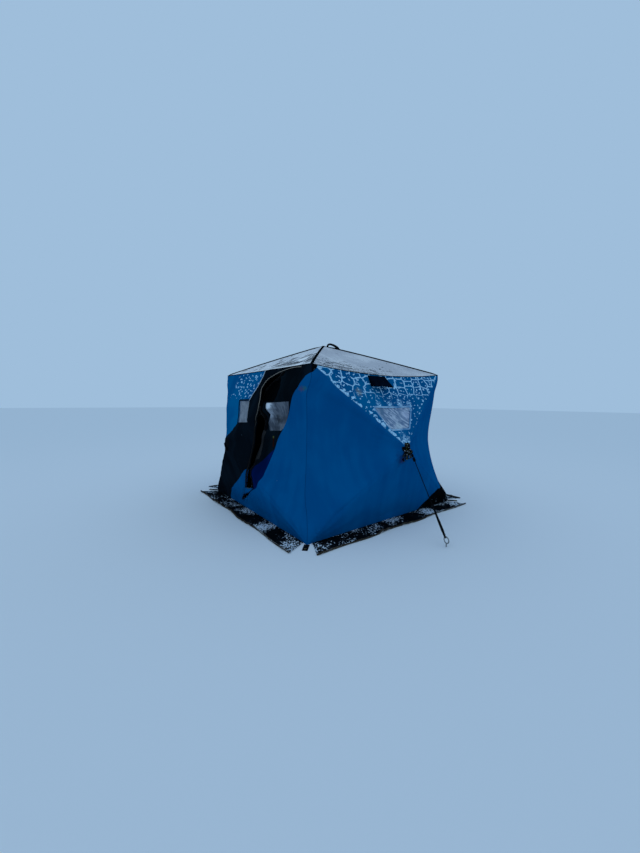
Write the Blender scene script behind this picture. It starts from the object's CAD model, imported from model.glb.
"""Looks of a pop-up ice fishing shelter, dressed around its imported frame, in metres."""
import math

import bpy
import numpy as np
from mathutils import Matrix, Vector
from mathutils.geometry import delaunay_2d_cdt


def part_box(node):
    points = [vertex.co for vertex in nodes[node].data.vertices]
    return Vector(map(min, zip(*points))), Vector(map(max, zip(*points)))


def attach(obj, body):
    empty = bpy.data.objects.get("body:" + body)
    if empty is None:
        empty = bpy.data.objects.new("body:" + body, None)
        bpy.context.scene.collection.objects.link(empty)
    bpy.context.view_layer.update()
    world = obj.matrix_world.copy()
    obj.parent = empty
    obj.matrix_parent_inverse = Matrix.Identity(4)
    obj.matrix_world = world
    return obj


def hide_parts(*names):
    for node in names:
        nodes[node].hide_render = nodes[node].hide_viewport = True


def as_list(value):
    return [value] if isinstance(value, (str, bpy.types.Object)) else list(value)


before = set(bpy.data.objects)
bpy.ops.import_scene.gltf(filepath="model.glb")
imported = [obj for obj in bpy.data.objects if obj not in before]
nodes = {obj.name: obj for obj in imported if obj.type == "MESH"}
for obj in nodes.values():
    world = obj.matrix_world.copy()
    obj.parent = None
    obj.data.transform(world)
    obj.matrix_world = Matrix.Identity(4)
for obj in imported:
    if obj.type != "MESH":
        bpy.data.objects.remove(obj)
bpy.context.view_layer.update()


# Camera
# The photograph was taken from eye height off the near corner, with a wide phone lens held almost level.
# Its place, direction and small roll were solved from the shelter's corners, seams and peak.
EYE = Vector((3.4916, -2.7941, 1.3016))
AHEAD = Vector((-0.793, 0.6043, -0.0771)).normalized()
ROLL = math.radians(0.449)
LENS_MM = 13.78

level = AHEAD.cross(Vector((0, 0, 1))).normalized()
above = level.cross(AHEAD)
rightward = level * math.cos(ROLL) + above * math.sin(ROLL)
upward = above * math.cos(ROLL) - level * math.sin(ROLL)
camera = bpy.data.objects.new("camera", bpy.data.cameras.new("camera"))
camera.data.lens = LENS_MM
camera.data.clip_end = 400
camera.matrix_world = Matrix.Translation(EYE) @ Matrix((rightward, upward, -AHEAD)).transposed().to_4x4()
bpy.context.scene.collection.objects.link(camera)
bpy.context.scene.camera = camera


# Floor and light
# A plain pale floor under an even overcast sky, with one broad soft light overhead, as in a studio tent.
FLOOR_HALF = 60
LAMP_HEIGHT = 7.0
LAMP_SIZE = 9.0
LAMP_WATTS = 30


def linear(code):
    """A colour written as sRGB hex, in the linear values that Blender's shaders take."""
    c = np.array([int(code[i:i + 2], 16) for i in (1, 3, 5)]) / 255
    c = np.where(c <= 0.04045, c / 12.92, ((c + 0.055) / 1.055) ** 2.4)
    return (*c.tolist(), 1.0)


MAIN_SETTINGS = {"Math": "operation", "VectorMath": "operation", "Mix": "data_type", "Mapping": "vector_type",
                 "MapRange": "interpolation_type", "TexNoise": "noise_dimensions",
                 "TexVoronoi": "voronoi_dimensions", "TexWave": "bands_direction"}
SHORT_KINDS = {"SMOOTHSTEP": "MapRange SMOOTHSTEP", "COLOURS": "Mix RGBA"}


def add(material, kind, *inputs, **named):
    """Adds one shader node, of a kind such as "TexNoise 2D" whose second word is its main setting; a kind in
    capitals is a Math operation. Inputs fill its sockets in order, or by name with _ for a space, and a name
    in lower case is one more setting. An input is a value, sRGB hex, a node (its first output) or (node,
    output name)."""
    kind, *word = (SHORT_KINDS.get(kind, "Math " + kind) if kind.isupper() else kind).split()
    tree = material.node_tree
    node = tree.nodes.new("ShaderNode" + kind)
    if word:
        setattr(node, MAIN_SETTINGS[kind], word[0])
    for key in filter(str.islower, named):
        setattr(node, key, named[key])
    sockets = [s for s in node.inputs if s.enabled]
    by_name = {s.name.replace(" ", "_"): s for s in reversed(sockets)}
    named_inputs = [(by_name[key], value) for key, value in named.items() if not key.islower()]
    for socket, value in [*zip(sockets, inputs), *named_inputs]:
        if isinstance(value, tuple) and isinstance(value[0], bpy.types.Node):
            tree.links.new(value[0].outputs[value[1]], socket)
        elif isinstance(value, bpy.types.Node):
            tree.links.new(next(o for o in value.outputs if o.enabled), socket)
        else:
            socket.default_value = linear(value) if isinstance(value, str) else value
    return node


def finish_of(name, coordinates="UV"):
    """A node material with that name and only its output, and the coordinates that its textures read."""
    material = bpy.data.materials.new(name)
    material.use_nodes = True
    material.node_tree.nodes.clear()
    material.node_tree.nodes.new("ShaderNodeOutputMaterial")
    return material, (add(material, "TexCoord"), coordinates)


def surface(material, colour, roughness, relief=None, depth=0, gloss=0.0, **more):
    """Gives a material its shader, with a relief raised by a depth in metres, and returns it. Cloth has no
    gloss, and 0.5 is a bare solid's."""
    if relief:
        more["Normal"] = add(material, "Bump", Height=relief, Distance=depth)
    shader = add(material, "BsdfPrincipled", Base_Color=colour, Roughness=roughness, Specular_IOR_Level=gloss,
                 **more)
    output = material.node_tree.nodes["Material Output"]
    material.node_tree.links.new(shader.outputs["BSDF"], output.inputs["Surface"])
    return material


# Matt sheet: no gloss, so it takes only the shelter's soft shadow
floor_sheet = surface(finish_of("matt_white_sheet")[0], "#eef0f2", 0.95)
floor_mesh = bpy.data.meshes.new("floor")
floor_corners = [(x * FLOOR_HALF, y * FLOOR_HALF, 0) for x, y in ((-1, -1), (1, -1), (1, 1), (-1, 1))]
floor_mesh.from_pydata(floor_corners, [], [(0, 1, 2, 3)])
floor_mesh.materials.append(floor_sheet)
floor = bpy.data.objects.new("floor", floor_mesh)
bpy.context.scene.collection.objects.link(floor)

world = bpy.data.worlds.new("overcast")
world.use_nodes = True
world.node_tree.nodes["Background"].inputs["Color"].default_value = linear("#9fbedb")
bpy.context.scene.world = world
bpy.context.scene.view_settings.view_transform = "Standard"
lamp = bpy.data.objects.new("overhead", bpy.data.lights.new("overhead", "AREA"))
lamp.data.size = LAMP_SIZE
lamp.data.energy = LAMP_WATTS
lamp.data.color = linear("#eef4fb")[:3]
lamp.location = (0.6, -0.8, LAMP_HEIGHT)
bpy.context.scene.collection.objects.link(lamp)


# Rods, hubs and corner boots
# Drawn glass fibre rods in moulded nylon hubs; they show through the doorway and hold all the cloth out.
# The frame's own solids have the right shape and take only their finish here.
def dress(material, *names):
    """Puts a material on the frame's own nodes, whose meshes stay as they are."""
    for name in names:
        for slot in nodes[name].material_slots:
            slot.material = material


def two_tone(name, tones, blotch_mm, roughness, gloss, grain_mm=0, depth=0, detail=2.0, **more):
    """Two tones in soft blotches and a fine raised grain, both read from the piece's own coordinates."""
    m, place = finish_of(name, "Object")
    tone = add(m, "COLOURS", add(m, "TexNoise", place, 500 / blotch_mm, detail), *tones)
    grain = add(m, "TexNoise", place, 500 / grain_mm) if grain_mm else None
    return surface(m, tone, roughness, grain, depth, gloss, **more)


# Pultruded glass fibre: near black, satin, with faint lengthwise streaks
glass_fibre = two_tone("pultruded_glass_fibre", ("#08090b", "#0f1113"), 6, 0.5, 0.12, 6, 0.0001, IOR=1.52)
dress(glass_fibre, "door_wall_rods", "right_wall_rods", "back_wall_rods", "left_wall_rods")

# Injection moulded nylon: black, with the fine grain of a spark-eroded mould
moulded_nylon = two_tone("moulded_nylon", ("#131416", "#1c1e21"), 40, 0.5, 0.5, 1.5, 0.00015, IOR=1.53)
dress(moulded_nylon, "wall_hubs")


# Cloth of the three plain walls
# Quilted polyester, blue outside and black inside. Each wall is four panels sewn together along the rods
# that run from its hub to its corners; pulled tight there, the cloth lies a little hollow in between.
_, foot_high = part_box("right_wall_foot")
_, top_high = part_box("right_wall_top")
FOOT_HALF = foot_high[1]
TOP_HALF = top_high[1]
HUB_REACH = foot_high[0]
HUB_H = foot_high[2]
CORNER_H = top_high[2]
PEAK_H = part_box("roof_front")[1][2]
door_side_low, door_side_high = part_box("door_wall_left")
DOOR_HUB_REACH = -door_side_low[1]
DOOR_HUB_SHIFT = -door_side_high[0]
EAVE_SAGS = {"door": 0.005, "right": 0.060, "back": 0.060, "left": 0.060}
SEAM_IN = 0.190
CLOTH_T = 0.006
SPACING = 0.017
WALLS = ("door", "right", "back", "left")
SIDES = ("front", "right", "back", "left")
QUARTER_TURNS = ((1, 0), (0, 1), (-1, 0), (0, -1))
MIDDLE = np.array([0, 0, HUB_H])
MEAN_REACH = (FOOT_HALF + TOP_HALF) / 2


def bow(s):
    """0 at both ends of an edge and 1 in its middle."""
    return 4 * s * (1 - s)


def eave(wall, s):
    """A wall's upper edge: straight in plan, sagging as a parabola, but pulled taut over the door."""
    return np.stack([TOP_HALF * (2 * s - 1), -TOP_HALF + 0 * s, CORNER_H - EAVE_SAGS[wall] * bow(s)], -1)


def seam_half(s, near):
    """Half the plan's width at a share of the corner's height: drawn in as a parabola, but hardly over the
    boots at both ends, and less in its upper part except at the near corner."""
    drawn = SEAM_IN * bow(s) * ease(s, -0.02, 0.16) * ease(1 - s, -0.02, 0.14)
    drawn = drawn * (1 - (0.0 if near else 0.35) * ease(s, 0.45, 0.85))
    return FOOT_HALF + (TOP_HALF - FOOT_HALF) * s - drawn / math.sqrt(2)


def seam(side, s, near=False):
    """A corner seam from the foot up, on the diagonal."""
    half = seam_half(s, near)
    return np.stack([side * half, -half, CORNER_H * s], -1)


def foot(s):
    """A wall's foot, straight on the ice."""
    return np.stack([FOOT_HALF * (2 * s - 1), -FOOT_HALF + 0 * s, 0 * s], -1)


def hub_of(wall):
    """Where the rods of a wall push its cloth out, in the door wall's frame."""
    return np.array([-DOOR_HUB_SHIFT, -DOOR_HUB_REACH, HUB_H] if wall == "door" else [0, -HUB_REACH, HUB_H])


def turned(points, wall):
    """Points of the door wall's frame, turned by quarters about Z onto a wall."""
    c, s = QUARTER_TURNS[WALLS.index(wall)]
    x, y, z = np.moveaxis(np.asarray(points, float), -1, 0)
    return np.stack([x * c - y * s, x * s + y * c, z], -1)


def drawn_in(points, depth):
    """Points moved straight toward the room's middle, by a depth on cloth at the mean reach."""
    return MIDDLE + (points - MIDDLE) * (1 - np.asarray(depth) / MEAN_REACH)[..., None]


def rim_of(wall, n=241):
    """All four edges of a wall, anticlockwise as seen from the room."""
    s = np.linspace(0, 1, n)
    return np.concatenate([eave(wall, s)[:-1], seam(1, 1 - s, wall == "door")[:-1], foot(1 - s)[:-1],
                           seam(-1, s, wall == "right")[:-1]])


def taut(wall, x, z):
    """The cloth pulled straight along every ray from the hub to the rim.
    Returns y, the share of the way from hub to rim, and the turn of the ray round the hub."""
    hx, hy, hz = hub_of(wall)
    rim = rim_of(wall)
    turn = np.arctan2(z - hz, x - hx)
    rim_turn = np.arctan2(rim[:, 2] - hz, rim[:, 0] - hx)
    rim_far = np.hypot(rim[:, 0] - hx, rim[:, 2] - hz)
    out = np.hypot(x - hx, z - hz) / np.interp(turn, rim_turn, rim_far, period=2 * np.pi)
    y = hy + (np.interp(turn, rim_turn, rim[:, 1], period=2 * np.pi) - hy) * out
    return y, out, turn


CORNERS_2D = np.array([(FOOT_HALF, 0), (TOP_HALF, CORNER_H), (-TOP_HALF, CORNER_H), (-FOOT_HALF, 0)])


def creases(wall):
    """Turns round the hub of the four rods, from the lower right corner anticlockwise."""
    hx, _, hz = hub_of(wall)
    turn = np.arctan2(CORNERS_2D[:, 1] - hz, CORNERS_2D[:, 0] - hx)
    turn[3] += 2 * np.pi
    return turn


def between_rods(wall, turn):
    """Which panel a turn lies in, 0 right, 1 top, 2 left or 3 foot, and its share across that panel."""
    edges = creases(wall)
    t = (turn - edges[0]) % (2 * np.pi) + edges[0]
    edges = np.append(edges, edges[0] + 2 * np.pi)
    panel = np.clip(np.searchsorted(edges, t, side="right") - 1, 0, 3)
    return panel, (t - edges[panel]) / (edges[panel + 1] - edges[panel])


def distance_to(path, flat):
    """Distance of flat points from an open path of straight pieces."""
    a, b = path[:-1], path[1:]
    share = np.clip(((flat[:, None] - a) * (b - a)).sum(-1) / ((b - a) ** 2).sum(-1), 0, 1)
    return np.linalg.norm(flat[:, None] - a - share[..., None] * (b - a), axis=-1).min(1)


def ease(value, low, high):
    """0 below low, 1 above high, and a smooth step between."""
    t = np.clip((value - low) / (high - low), 0, 1)
    return t * t * (3 - 2 * t)


def waves(x, z, length, seed):
    """A soft random field from -1 to 1: five sine waves of about one length in seeded directions."""
    draw = np.random.default_rng(seed)
    angle, phase, stretch = draw.uniform(0, 2 * np.pi, (3, 5))
    k = 2 * np.pi / length * (0.7 + 0.6 * stretch / (2 * np.pi))
    way = x[..., None] * np.cos(angle) * k + z[..., None] * np.sin(angle) * k + phase
    return np.sin(way).sum(-1) / 3


NEAR_PULL = np.array([-0.035, -0.045, 0.0])
PULL_REACH = 0.3


def pulled(points):
    """The near corner's seam lies nearly 60 mm over toward the door, and takes the cloth beside it along."""
    x, y, z = np.moveaxis(points, -1, 0)
    up = np.clip(z / CORNER_H, 0, 1)
    half = seam_half(up, True)
    far = np.hypot(x - half, y + half)
    share = ease(1 - up, 0.06, 0.18) * ease(up, 0.03, 0.28) * np.exp(-(far / PULL_REACH) ** 2)
    return points + NEAR_PULL * share[..., None]


HOLLOW = 0.014
ROUND_W = 0.050
ROUND_SLOPE = 0.42
SLACK = 0.0045
HUB_FOLD = 0.0028
CORNER_FOLD = 0.0035
HUB_FOLD_REACH = 0.34
CORNER_FOLD_REACH = 0.45


def slack(wall, x, z, out, turn):
    """How far the cloth stands out from its taut shape. It is hollow between the rods as a squared sine and
    bends over each rod as a parabola 50 mm wide on either side, has soft dents, and fine folds fan out from
    the hub and from each corner; all of it dies away at hub and rim."""
    seed = 11 * WALLS.index(wall)
    panel, across = between_rods(wall, turn)
    fold = -HOLLOW * np.sin(np.pi * across) ** 2 * np.where(panel == 1, 0.7, 1.0)
    fold = fold + SLACK * waves(x, z, 0.55, seed + 1) + 0.4 * SLACK * waves(x, z, 0.17, seed + 2)
    flat, hub = np.stack([x, z], -1), hub_of(wall)[[0, 2]]
    near_rod = np.min([distance_to(np.array([hub, corner]), flat) for corner in CORNERS_2D], axis=0)
    round_off = ROUND_SLOPE * np.clip(ROUND_W - near_rod, 0, None) ** 2 / (2 * ROUND_W)
    fold = fold - round_off * ease(1 - out, 0.12, 0.30)
    near_hub = np.exp(-(out / HUB_FOLD_REACH) ** 2)
    fold = fold + HUB_FOLD * near_hub * np.sin(31 * turn + 2.2 * np.sin(5 * turn + seed))
    for i, (cx, cz) in enumerate(CORNERS_2D):
        far = np.hypot(x - cx, z - cz)
        fan = np.arctan2(z - cz, x - cx)
        fold = fold + CORNER_FOLD * np.exp(-(far / CORNER_FOLD_REACH) ** 2) * np.sin(27 * fan + i + seed)
    held = ease(out, 0.0, 0.16) * ease(1 - out, 0.0, 0.10)
    return fold * held


def wall_face(wall, extra=None):
    """The wall's outer face as a function of x and z in the door wall's frame and a depth under that face.
    Extra adds to how far it stands out, from the flat points, the share of the way from hub and the turn."""
    def face(flat, depth):
        x, z = flat.T
        y, out, turn = taut(wall, x, z)
        stands = slack(wall, x, z, out, turn) + (extra(flat, out, turn) if extra else 0)
        points = drawn_in(np.stack([x, y, z], -1), depth - stands)
        points[:, 2] = np.maximum(points[:, 2], 0.0)
        return pulled(turned(points, wall))
    return face


def along(points, step, closed=True):
    """An outline's points with each side split evenly into pieces no longer than step."""
    points = np.asarray(points, float)
    ends = np.roll(points, -1, 0) if closed else points[1:]
    parts = []
    for a, b in zip(points, ends):
        n = max(1, math.ceil(np.linalg.norm(b - a) / step - 1e-6))
        parts.append(a + (b - a) * (np.arange(n) / n)[:, None])
    if not closed:
        parts.append(points[-1:])
    return np.concatenate(parts)


def inside(points, outline):
    """Even-odd test of points against a closed outline: sides crossed by a level ray to the right."""
    x, z = points[:, :1], points[:, 1:]
    a, b = np.asarray(outline, float), np.roll(outline, -1, 0)
    over = (a[:, 1] > z) != (b[:, 1] > z)
    rise = np.where(b[:, 1] == a[:, 1], 1e-12, b[:, 1] - a[:, 1])
    at = a[:, 0] + (z - a[:, 1]) / rise * (b[:, 0] - a[:, 0])
    return (over & (x < at)).sum(1) % 2 == 1


def lattice(across, down):
    """Flat points at each of the first values, in one row for each of the second ones."""
    return np.stack(np.meshgrid(across, down), -1).reshape(-1, 2)


def cut_cloth(rim, lines, step):
    """Flat cloth inside a rim: a square grid of points, the rim and the lines drawn on it, and triangles
    whose edges follow every line. Returns the flat points and the triangles, anticlockwise."""
    outlines = [(along(rim, step), True)] + [(along(line, step, closed), closed) for line, closed in lines]
    drawn = np.concatenate([points for points, _ in outlines])
    low, high = drawn.min(0), drawn.max(0)
    grid = lattice(np.arange(low[0], high[0], step), np.arange(low[1], high[1], step)) + step * 0.31
    grid = grid[inside(grid, rim)]
    if len(grid) < 400:
        near = np.array([np.abs(drawn - p).max(1).min() for p in grid])
    else:
        near = nearest(grid, drawn)
    grid = grid[near > 0.45 * step]
    edges, start = [], 0
    for points, closed in outlines:
        index = np.arange(start, start + len(points))
        pairs = np.stack([index, np.roll(index, -1)], -1)
        edges.append(pairs if closed else pairs[:-1])
        start += len(points)
    flat = [Vector(p) for p in np.concatenate([drawn, grid]).tolist()]
    points, _, faces, *_ = delaunay_2d_cdt(flat, np.concatenate(edges).tolist(), [], 0, 1e-6)
    points = np.array([p[:] for p in points])
    faces = np.array(faces)
    centre = points[faces].mean(1)
    return points, faces[inside(centre, rim)]


def nearest(points, others):
    """Distance of each point from the nearest of the others, worked out in blocks."""
    blocks = np.array_split(points, max(1, len(points) // 500))
    return np.concatenate([np.sqrt(((b[:, None] - others) ** 2).sum(-1)).min(1) for b in blocks])


def piece(name, points, faces, materials, slot, uv=None, kinds=None, sharp=40):
    """A finished mesh object at the origin, smooth but for edges sharper than an angle, riding on the
    shelter."""
    mesh = bpy.data.meshes.new(name)
    faces = [np.asarray(f) for f in (faces if isinstance(faces, list) else [faces])]
    mesh.from_pydata(points.tolist(), [], [f for block in faces for f in block.tolist()])
    for material in materials if isinstance(materials, (list, tuple)) else [materials]:
        mesh.materials.append(material)
    if kinds is not None:
        mesh.polygons.foreach_set("material_index", np.asarray(kinds, np.int32))
    if uv is not None:
        layer = mesh.uv_layers.new(name="cloth")
        corner = np.empty(len(mesh.loops), np.int32)
        mesh.loops.foreach_get("vertex_index", corner)
        layer.data.foreach_set("uv", uv[corner].astype(np.float32).ravel())
    mesh.shade_smooth()
    mesh.set_sharp_from_angle(angle=math.radians(sharp))
    mesh.update()
    made = bpy.data.objects.new(name, mesh)
    bpy.context.scene.collection.objects.link(made)
    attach(made, "root")
    return made


def shell(name, flat, faces, face, depth, thickness, materials, slot, node=None, kinds=None, back_kind=None):
    """Cloth with a real thickness: its outer and inner faces at two depths of a surface, joined round all
    edges. It stands for the node, if one is named."""
    used, faces = np.unique(faces, return_inverse=True)
    faces = faces.reshape(-1, 3)
    flat = flat[used]
    n = len(flat)
    outer, inner = face(flat, np.full(n, depth)), face(flat, np.full(n, depth + thickness))
    sides = np.concatenate([faces[:, [0, 1]], faces[:, [1, 2]], faces[:, [2, 0]]])
    owner = np.tile(np.arange(len(faces)), 3)
    code, count = np.unique(np.sort(sides, 1) @ [n, 1], return_counts=True)
    free = np.isin(np.sort(sides, 1) @ [n, 1], code[count == 1])
    i, j = sides[free].T
    rim = np.stack([j, i, i + n, j + n], -1)
    kinds = np.zeros(len(faces), int) if kinds is None else kinds
    back = kinds if back_kind is None else np.full(len(faces), back_kind)
    all_kinds = np.concatenate([kinds, back, kinds[owner[free]]])
    made = piece(name, np.concatenate([outer, inner]), [faces, faces[:, ::-1] + n, rim], materials, slot,
                 uv=np.concatenate([flat, flat]), kinds=all_kinds)
    if node:
        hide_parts(node)
    return made


def sheet(name, flat, faces, face, depth, thickness, materials, slot, size, held="stretched", on=(), **more):
    """A shell declared as cloth by the flat size of its cut and by its area on the taut surface."""
    made = shell(name, flat, faces, face, depth, thickness, materials, slot, **more)
    a, b, c = np.moveaxis(face(flat, np.zeros(len(flat)))[faces], 1, 0)
    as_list(on)
    return made


# Polyester oxford, 300 denier. The threads are 0.4 mm, too fine to show, so the weave is drawn at 3 mm; water
# marks and a few grains of frost lie over it. Only the lining shows its quilting, stitched every 95 mm. A
# wave texture draws 6.3 ridges in one unit
QUILT_MM = 95
WEAVE_MM = 3
RIDGES_PER_UNIT = 6.3


def blot(m, place, x, z, radius, strength=1.0):
    """A ragged round mark at a place on the cloth's map: strength inside, 0 from its radius on."""
    far = (add(m, "VectorMath LENGTH", add(m, "Mapping", place, Location=(-x, -z, 0))), "Value")
    edge = add(m, "MULTIPLY_ADD", add(m, "TexNoise 2D", place, 2.5 / radius, 3.0), 0.9 * radius, far)
    return add(m, "SMOOTHSTEP", edge, 0.55 * radius, 1.3 * radius, strength, 0.0)


def marked(m, place, tone, marks):
    """A tone with ragged round marks over it, each given as x, z, radius, strength and colour."""
    for *spot, colour in marks:
        tone = add(m, "COLOURS", blot(m, place, *spot), tone, colour)
    return tone


def polyester(name, tone, deep, frost=0.0, roughness=0.55, quilted=False, marks=()):
    """Dyed polyester cloth with weave, water marks and specks of frost, read from the cloth's own map."""
    m, place = finish_of(name)
    weave = add(m, "TexWave DIAGONAL", place, 1000 / WEAVE_MM / RIDGES_PER_UNIT, 1.5)
    stains = add(m, "TexNoise 2D", place, 2.2, 5.0)
    stretched = add(m, "Mapping", place, Scale=(9.0, 1.6, 1.0))
    runs = add(m, "TexNoise 2D", stretched, 1.0, 4.0)
    cloudy = add(m, "ADD", stains, runs)
    tone_now = add(m, "COLOURS", add(m, "SMOOTHSTEP", cloudy, 0.75, 1.25), deep, tone)
    grains = add(m, "TexVoronoi 2D", place, Scale=11.0)
    lot = add(m, "SeparateColor", (grains, "Color"))
    picked = add(m, "GREATER_THAN", (lot, "Red"), 0.97)
    dot = add(m, "MULTIPLY", add(m, "SMOOTHSTEP", (grains, "Distance"), 0.05, 0.02), picked)
    tone_now = add(m, "COLOURS", add(m, "MULTIPLY", dot, 0.4), tone_now, "#8fa9c2")
    if frost:
        specks = add(m, "TexNoise 2D", place, 48.0, 3.0)
        patch = add(m, "TexNoise 2D", place, 3.1, 2.0)
        both = add(m, "MULTIPLY", specks, patch)
        grainy = add(m, "SMOOTHSTEP", both, 0.43 - 0.06 * frost, 0.50 - 0.06 * frost)
        tone_now = add(m, "COLOURS", grainy, tone_now, "#c9d6e2")
    tone_now = marked(m, place, tone_now, marks)
    height = add(m, "MULTIPLY", weave, 0.1)
    if quilted:
        turned_45 = add(m, "Mapping", place, Rotation=(0, 0, math.radians(45)))
        quilt = add(m, "TexVoronoi 2D", turned_45, feature="DISTANCE_TO_EDGE", Scale=1000 / QUILT_MM,
                    Randomness=0.0)
        height = add(m, "ADD", height, add(m, "SMOOTHSTEP", quilt, 0.0, 0.35, 0.0, 3.0))
    return surface(m, tone_now, roughness, height, 0.0013)


BLUE_TONES = ("#005a92", "#00528a")
blue_cloth = polyester("blue_polyester_oxford", *BLUE_TONES)
roped_blue = polyester("blue_polyester_stained_at_hub", *BLUE_TONES,
                       marks=((-0.055, 0.705, 0.12, 0.6, "#141d4a"), (-0.035, 0.685, 0.06, 0.5, "#3a2650")))
door_blue = polyester("blue_polyester_stained_by_door", *BLUE_TONES,
                      marks=((0.905, 1.417, 0.045, 0.8, "#4d4a6e"), (0.935, 1.425, 0.04, 0.6, "#2f6a6c")))
band_cloth = polyester("black_polyester_oxford", "#101b24", "#0a1219", roughness=0.6)
lining = polyester("black_quilted_lining", "#07090b", "#040506", roughness=0.75, quilted=True)


# Printed polyester: the same cloth with a white transfer print of cracked ice that thins out below the eave
# into loose flakes, and larger flakes along the near rod line. Cells are 130 by 85 mm, lines about 10 mm. The
# door wall has the flakes alone
CELL_W_MM, CELL_H_MM = 130, 85
FLAKE_MM = 70


def printed(name, tone, deep, seed, net=1.0, reach=(0.95, 1.45), side=-1.2, frost=(), marks=()):
    """Dyed cloth whose print is read from the wall's own x and z: a net of lines between random cells,
    broken by noise, and flakes whose size falls with the distance from the eave, down to the reach. Nothing
    is printed left of a side; frost and marks are blots of white grains and of dirt."""
    m, place = finish_of(name)
    split = add(m, "SeparateXYZ", place)
    sideways = add(m, "ABSOLUTE", (split, "X"))
    slope = (CORNER_H - HUB_H) / TOP_HALF
    low = add(m, "MULTIPLY_ADD", sideways, -slope, (split, "Y"))
    over_rod = add(m, "MULTIPLY", add(m, "SUBTRACT", low, HUB_H), 1 / math.hypot(1, slope))
    shifted = add(m, "Mapping", place, Location=(seed * 3.7, seed * 1.3, 0))
    warp = add(m, "TexNoise 2D", shifted, 7.0, 1.0)
    bent = add(m, "Mix VECTOR", 0.03, shifted, (warp, "Color"))
    wide = add(m, "Mapping", bent, Scale=(1000 / CELL_W_MM, 1000 / CELL_H_MM, 1.0))
    cells = add(m, "TexVoronoi 2D", wide, feature="DISTANCE_TO_EDGE", Scale=1.0, Randomness=0.62)
    broken = add(m, "TexNoise 2D", shifted, 9.0, 2.0)
    fading = add(m, "SMOOTHSTEP", (split, "Y"), 1.24, 1.48, -0.02 * net, 0.047 * net)
    width = add(m, "MULTIPLY", fading, add(m, "SMOOTHSTEP", broken, 0.28, 0.44, 0.0, 1.3))
    lines = add(m, "LESS_THAN", cells, width)
    ragged = add(m, "TexNoise 2D", shifted, 28.0, 2.0)
    torn = add(m, "Mix VECTOR", 0.035, bent, (ragged, "Color"))
    slanted = add(m, "Mapping", torn, Rotation=(0, 0, 0.7), Scale=(1.0, 1.9, 1.0))
    flakes = add(m, "TexVoronoi 2D", slanted, distance="MANHATTAN", Scale=1000 / FLAKE_MM, Randomness=1.0)
    size = add(m, "SMOOTHSTEP", (split, "Y"), *reach, 0.16 * net, 0.20 + 0.05 * (1 - net))
    size = add(m, "ADD", size, add(m, "SMOOTHSTEP", (split, "X"), 0.3, 0.7, 0.0, 0.07 * net))
    loose = add(m, "LESS_THAN", flakes, size)
    near_side = add(m, "SMOOTHSTEP", (split, "X"), 0.05, -0.05, 0.24 * net, 0.58 * net)
    band = add(m, "MULTIPLY", add(m, "SMOOTHSTEP", over_rod, 0.01, 0.09), -1.0)
    band = add(m, "MULTIPLY_ADD", band, near_side, near_side)
    along_rod = add(m, "LESS_THAN", flakes, band)
    clear = add(m, "SMOOTHSTEP", over_rod, 0.004, 0.012)
    ink = add(m, "MAXIMUM", add(m, "MAXIMUM", lines, loose), along_rod)
    for kept in (clear, add(m, "SMOOTHSTEP", (split, "X"), side, side + 0.1)):
        ink = add(m, "MULTIPLY", ink, kept)
    grains = add(m, "TexNoise 2D", shifted, 55.0, 3.0)
    for x, z, radius in frost:
        caked = add(m, "SMOOTHSTEP", grains, 0.44, 0.52)
        caked = add(m, "MULTIPLY", blot(m, place, x, z, radius), caked)
        ink = add(m, "MAXIMUM", ink, caked)
    worn = add(m, "TexNoise 2D", shifted, 60.0, 2.0)
    ink = add(m, "MULTIPLY", ink, add(m, "SMOOTHSTEP", worn, 0.3, 0.55, 0.5, 0.95))
    clouds = add(m, "TexNoise 2D", place, 2.6, 4.0)
    ground = add(m, "COLOURS", add(m, "SMOOTHSTEP", clouds, 0.35, 0.65), deep, tone)
    weave = add(m, "TexWave DIAGONAL", place, 1000 / WEAVE_MM / RIDGES_PER_UNIT, 1.5)
    tone_now = marked(m, place, add(m, "COLOURS", ink, ground, "#b4e1fa"), marks)
    return surface(m, tone_now, 0.55, weave, 0.00013)


# Outlines on a plain wall: its rods, its window and its vent, in x and z
WINDOW_HEAD, WINDOW_SILL = 1.242, 1.018
WINDOW_TOP_W, WINDOW_SILL_W, WINDOW_SHIFT = 0.595, 0.295, 0.028
VENT_SHIFT, VENT_W, VENT_H = 0.145, 0.250, 0.060
VENT_HEAD = CORNER_H - 0.105


def unit(v):
    """Vectors of length 1 along the given ones."""
    return v / np.linalg.norm(v, axis=-1, keepdims=True)


def rounded(outline, radius, turns=4):
    """An outline with each corner replaced by a short parabola that starts a radius away from it."""
    corner = np.asarray(outline, float)
    before, after = np.roll(corner, 1, 0) - corner, np.roll(corner, -1, 0) - corner
    a, b = ((corner + unit(way) * radius)[:, None] for way in (before, after))
    t = np.linspace(0, 1, turns + 1)[None, :, None]
    return (a * (1 - t) ** 2 + 2 * corner[:, None] * t * (1 - t) + b * t ** 2).reshape(-1, 2)


def grown(outline, by):
    """An outline with each side moved outward by the same distance, for sides listed clockwise."""
    p = np.asarray(outline, float)
    side = np.roll(p, -1, 0) - p
    normal = unit(np.stack([-side[:, 1], side[:, 0]], -1))
    last = np.roll(normal, 1, 0)
    return p + (normal + last) * (by / (1 + (normal * last).sum(1)))[:, None]


def trapezium(middle, head, sill, head_w, sill_w):
    """The four corners of a hole in a wall, clockwise from the upper left."""
    return [(middle + side * wide / 2, z) for side, wide, z in ((-1, head_w, head), (1, head_w, head),
                                                                (1, sill_w, sill), (-1, sill_w, sill))]


window = rounded(trapezium(-WINDOW_SHIFT, WINDOW_HEAD, WINDOW_SILL, WINDOW_TOP_W, WINDOW_SILL_W), 0.022)
vent = np.array(trapezium(-VENT_SHIFT, VENT_HEAD, VENT_HEAD - VENT_H, VENT_W, VENT_W))
rim_2d = rim_of("right", 61)[:, [0, 2]]


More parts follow.
